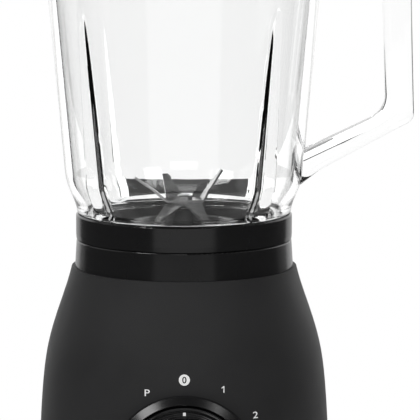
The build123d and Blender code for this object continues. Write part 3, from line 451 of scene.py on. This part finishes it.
def figure_one(height):
    """A plain 1 with a flag, centred, as (points, faces)."""
    stem, flag = 0.15 * height, 0.28 * height
    top, foot = height / 2, -height / 2
    points = [(0, foot), (stem, foot), (stem, top), (0.3 * stem, top), (-flag, top - 0.24 * height),
              (-flag, top - 0.38 * height), (0, top - 0.22 * height)]
    return points, [(0, 1, 2, 6), (6, 2, 3), (6, 3, 4, 5)]


def text_outline(letter, height, widen):
    """Filled mesh of one character, centred, as (points, faces)."""
    curve = bpy.data.curves.new("letter", "FONT")
    curve.body = letter
    curve.size = 1.0
    curve.offset = ZERO_BOLD if letter == "0" else LETTER_BOLD
    curve.resolution_u = 6
    holder = bpy.data.objects.new("letter", curve)
    mesh = bpy.data.meshes.new_from_object(holder)
    xs, ys = [v.co.x for v in mesh.vertices], [v.co.y for v in mesh.vertices]
    scale = height / (max(ys) - min(ys))
    middle = ((max(xs) + min(xs)) / 2, (max(ys) + min(ys)) / 2)
    points = [((v.co.x - middle[0]) * scale * widen, (v.co.y - middle[1]) * scale) for v in mesh.vertices]
    faces = [tuple(p.vertices) for p in mesh.polygons]
    bpy.data.objects.remove(holder)
    return points, faces


def mesh_object(name, verts, faces, material):
    data = bpy.data.meshes.new(name)
    data.from_pydata([tuple(v) for v in verts], [], faces)
    data.update()
    data.materials.append(material)
    return add_object(name, data)


def make_zero_disc(body, x, z, ink):
    """Filled disc that the 0 is printed on."""
    sides = ZERO_DISC_SIDES
    rim = [on_circle(ZERO_DISC_R, k, sides) for k in range(sides)]
    spots = lay_on_front(body, [*((x + px, z + pz) for px, pz in rim), (x, z)], PRINT_LIFT)
    return mesh_object("print_0_disc", spots, [(k, (k + 1) % sides, sides) for k in range(sides)], ink)


def make_dial_print(materials):
    body = BVHTree.FromPolygons(*node_mesh("base_housing"))
    white, black = materials["mark_white"], materials["body_black"]
    for name, letter, degrees, reach in (
        ("print_p", "P", -26.0, 45.2 * MM), ("print_0", "0", 0.0, 47.8 * MM),
        ("print_1", "1", 26.2, 47.2 * MM), ("print_2", "2", 54.2, 46.9 * MM),
    ):
        turn = math.radians(degrees)
        x, z = reach * math.sin(turn), DIAL_Z + reach * math.cos(turn)
        lift, ink, slot = PRINT_LIFT, white, "mark_white"
        if letter == "0":
            disc = make_zero_disc(body, x, z, white)
            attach(disc, "base")
            lift, ink, slot = 2 * PRINT_LIFT, black, "body_black"
            points, faces = text_outline(letter, ZERO_HEIGHT, 1.0)
        elif letter == "1":
            points, faces = figure_one(LETTER_HEIGHT)
        else:
            points, faces = text_outline(letter, LETTER_HEIGHT, LETTER_WIDEN)
        spots = lay_on_front(body, [(x + px, z + pz) for px, pz in points], lift)
        piece = mesh_object(name, spots, faces, ink)
        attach(piece, "base")


# ---- glass jar ----

JAR_HEIGHT = jar_high.z - COLLAR_TOP
RIM_R = jar_high.y
WALL = 4.6 * MM
SLOPE = 0.094
SWELL_TOP = 21.2 * MM            # the shoulder under the cone ends here
SHOULDER_DROP = 4.5 * MM
NECK_R, BORE_R = 49.4 * MM, 44.6 * MM
NECK_DROP = 11.3 * MM
SHOULDER_GAP = 0.35 * MM
SHOULDER_LIP = 1.0 * MM
FLOOR_HEIGHT = 3.0 * MM          # the inside wall turns in to the bore below this height
FLOOR_DROP = 5.5 * MM
RIB_TOP = 117 * MM
RIB_DEPTH = 5.0 * MM
RIB_HALF_WIDTH = 7.5 * MM
RIB_ANGLES = [math.radians(angle) for angle in (39.8, 134.4, 219.8, 314.4)]
SPOUT_REACH = 6.9 * MM
SPOUT_DROP = 30 * MM
SPOUT_HALF_ANGLE = 0.26
JAR_SIDES, CORE_SIDES = 288, 96
CORE_INSET = 1.8 * MM
HANDLE_WIDTH = 19 * MM
HANDLE_ROUND = 4.2 * MM
CREASE_ANGLE = 28


def smooth(low, high, value):
    share = min(max((value - low) / (high - low), 0.0), 1.0)
    return share * share * (3 - 2 * share)


def cone_r(height):
    return RIM_R - SLOPE * (JAR_HEIGHT - height)


def outer_r(height):
    return cone_r(height) - SHOULDER_DROP * (1 - smooth(1.2 * MM, SWELL_TOP, height))


def inner_r(height):
    return outer_r(height) - WALL


def turn_off(angle, centre):
    """Signed angle from a direction, within half a turn."""
    return (angle - centre + math.pi) % (2 * math.pi) - math.pi


def rib(angle, height, radius):
    fade = min(max(1 - height / RIB_TOP, 0.0), 1.0) ** 0.75
    near = min(abs(turn_off(angle, a)) for a in RIB_ANGLES) * radius
    half = RIB_HALF_WIDTH * (0.25 + 0.75 * fade)
    across = max(0.0, 1 - near / half)
    crest = across - 0.12 * smooth(0.75, 1.0, across)
    return RIB_DEPTH * fade * crest


def spout(angle, height):
    rise = smooth(JAR_HEIGHT - SPOUT_DROP, JAR_HEIGHT, height) ** 1.4
    across = max(0.0, 1 - (turn_off(angle, math.pi) / SPOUT_HALF_ANGLE) ** 2)
    return SPOUT_REACH * rise * across ** 1.5


def jar_profile():
    """Closed section of the jar as (radius, height over the collar, is inside)."""
    neck = [(BORE_R, -NECK_DROP, False), (NECK_R, -NECK_DROP, False), (NECK_R, SHOULDER_GAP, False)]
    shoulder, lip = outer_r(0), SHOULDER_LIP
    for k in range(5):
        turn = k * math.pi / 8
        neck.append((shoulder - lip + lip * math.sin(turn), SHOULDER_GAP + lip - lip * math.cos(turn), False))
    heights = [1.6 * MM + 34 * MM * (k / 34) for k in range(35)]
    heights += [36 * MM + (JAR_HEIGHT - 38 * MM) * k / 40 for k in range(1, 41)]
    outside = [(outer_r(h), h, False) for h in heights]
    rim_mid, half = cone_r(JAR_HEIGHT) - WALL / 2, WALL / 2
    base = JAR_HEIGHT - half
    outside = [row for row in outside if row[1] < base]
    rim = [(rim_mid + half * math.cos(k * math.pi / 10), base + half * math.sin(k * math.pi / 10), k > 5)
           for k in range(11)]
    inside = [(inner_r(h), h, True) for h in reversed(heights) if FLOOR_HEIGHT < h < base]
    span = inner_r(FLOOR_HEIGHT) - BORE_R
    turns = [k * math.pi / 20 for k in range(11)]
    step = [(BORE_R + span * math.cos(t) ** 0.8, FLOOR_HEIGHT - FLOOR_DROP * math.sin(t)) for t in turns]
    return neck + outside + rim + inside + [(r, h, True) for r, h in step]


def make_jar_body():
    mesh = bmesh.new()
    grid = []
    for radius, height, inside in jar_profile():
        row = []
        for k in range(JAR_SIDES):
            angle = 2 * math.pi * k / JAR_SIDES
            r = radius + spout(angle, height)
            if inside and height > 0:
                r -= rib(angle, height, radius) * smooth(0, 4 * MM, height)
            row.append(mesh.verts.new((*on_circle(r, k, JAR_SIDES), COLLAR_TOP + height)))
        grid.append(row)
    for first, second in zip(grid, [*grid[1:], grid[0]]):
        join_rows(mesh, first, second)
    bmesh.ops.recalc_face_normals(mesh, faces=mesh.faces)
    return add_mesh("jar_body", mesh)


def rounded(points, radii):
    """Corner points with arcs at the inner corners, as a list of (x, z)."""
    outline = [Vector(points[0])]
    for before, at, after, radius in zip(points, points[1:], points[2:], radii):
        at = Vector(at)
        back, ahead = (Vector(before) - at).normalized(), (Vector(after) - at).normalized()
        half = back.angle(ahead) / 2
        centre = at + (back + ahead).normalized() * (radius / math.sin(half))
        start = at + back * (radius / math.tan(half)) - centre
        end = at + ahead * (radius / math.tan(half)) - centre
        sweep = start.angle_signed(end)
        for k in range(13):
            spin = Matrix.Rotation(-sweep * k / 12, 2)
            outline.append(centre + spin @ start)
    outline.append(Vector(points[-1]))
    return outline


def make_handle():
    """Flat curve with a hole, thickened and rounded, in the plane of the drive axis."""
    reach = jar_high.x
    high = JAR_HEIGHT - 6 * MM
    inner_x = reach - 15 * MM
    outer = rounded(
        [(54 * MM, 8.5 * MM), (74 * MM, 24 * MM), (reach + 0.1 * MM, 51.5 * MM), (reach - 3.1 * MM, high),
         (60 * MM, high)], [40 * MM, 6 * MM, 15 * MM])
    hole = rounded(
        [(58 * MM, 31 * MM), (inner_x - 0.3 * MM, 55.5 * MM), (inner_x - 3.5 * MM, high - 17 * MM),
         (64 * MM, high - 19 * MM)], [14 * MM, 12 * MM])
    curve = bpy.data.curves.new("handle", "CURVE")
    curve.dimensions = "2D"
    curve.fill_mode = "BOTH"
    curve.extrude = HANDLE_WIDTH / 2 - HANDLE_ROUND
    curve.bevel_depth = HANDLE_ROUND
    curve.bevel_resolution = 6
    curve.offset = -HANDLE_ROUND
    for loop in (outer, list(reversed(hole))):
        spline = curve.splines.new("POLY")
        spline.points.add(len(loop) - 1)
        for point, place in zip(spline.points, loop):
            point.co = (place.x, place.y, 0, 1)
        spline.use_cyclic_u = True
    holder = bpy.data.objects.new("handle", curve)
    data = bpy.data.meshes.new_from_object(holder)
    bpy.data.objects.remove(holder)
    data.transform(Matrix.Translation((0, 0, COLLAR_TOP)) @ Matrix.Rotation(math.pi / 2, 4, "X"))
    mesh = bmesh.new()
    mesh.from_mesh(data)
    bmesh.ops.remove_doubles(mesh, verts=mesh.verts, dist=1e-6)
    bmesh.ops.recalc_face_normals(mesh, faces=mesh.faces)
    mesh.to_mesh(data)
    mesh.free()
    return add_object("handle", data)


def make_core():
    """The jar's outside moved in by a little under half a wall: what the handle may not reach."""
    mesh = bmesh.new()
    rows = []
    for height in [4 * MM * k for k in range(-3, 47)]:
        r = outer_r(height) - CORE_INSET
        rows.append([mesh.verts.new((*on_circle(r, k, CORE_SIDES), COLLAR_TOP + height))
                     for k in range(CORE_SIDES)])
    for first, second in zip(rows, rows[1:]):
        join_rows(mesh, first, second)
    mesh.faces.new(list(reversed(rows[0])))
    mesh.faces.new(rows[-1])
    bmesh.ops.recalc_face_normals(mesh, faces=mesh.faces)
    return add_mesh("jar_core", mesh)


def combine(target, tool, operation):
    """Boolean of two meshes, applied; the tool is removed."""
    change = target.modifiers.new("join", "BOOLEAN")
    change.operation = operation
    change.solver = "MANIFOLD"
    change.object = tool
    graph = bpy.context.evaluated_depsgraph_get()
    result = bpy.data.meshes.new_from_object(target.evaluated_get(graph))
    target.modifiers.clear()
    old = target.data
    target.data = result
    bpy.data.meshes.remove(old)
    bpy.data.objects.remove(tool)


def shade_by_angle(piece, degrees):
    """Smooth shading, with creases sharper than the angle kept."""
    mesh = bmesh.new()
    mesh.from_mesh(piece.data)
    for face in mesh.faces:
        face.smooth = True
    for edge in mesh.edges:
        edge.smooth = len(edge.link_faces) == 2 and edge.calc_face_angle(0) < math.radians(degrees)
    mesh.to_mesh(piece.data)
    mesh.free()


def make_jar(materials):
    """The jar and its handle as one glass piece."""
    handle = make_handle()
    combine(handle, make_core(), "DIFFERENCE")
    jar = make_jar_body()
    combine(jar, handle, "UNION")
    jar.name = "jar"
    shade_by_angle(jar, CREASE_ANGLE)
    jar.data.materials.clear()
    jar.data.materials.append(materials["clear_glass"])
    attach(jar, "jug")
    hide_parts("glass_jar")


# ---- assembly ----

camera = make_camera()
make_studio(camera)
make_floor()
materials = make_materials()
dress_nodes(materials)
make_spring(materials)
make_dial_print(materials)
make_jar(materials)
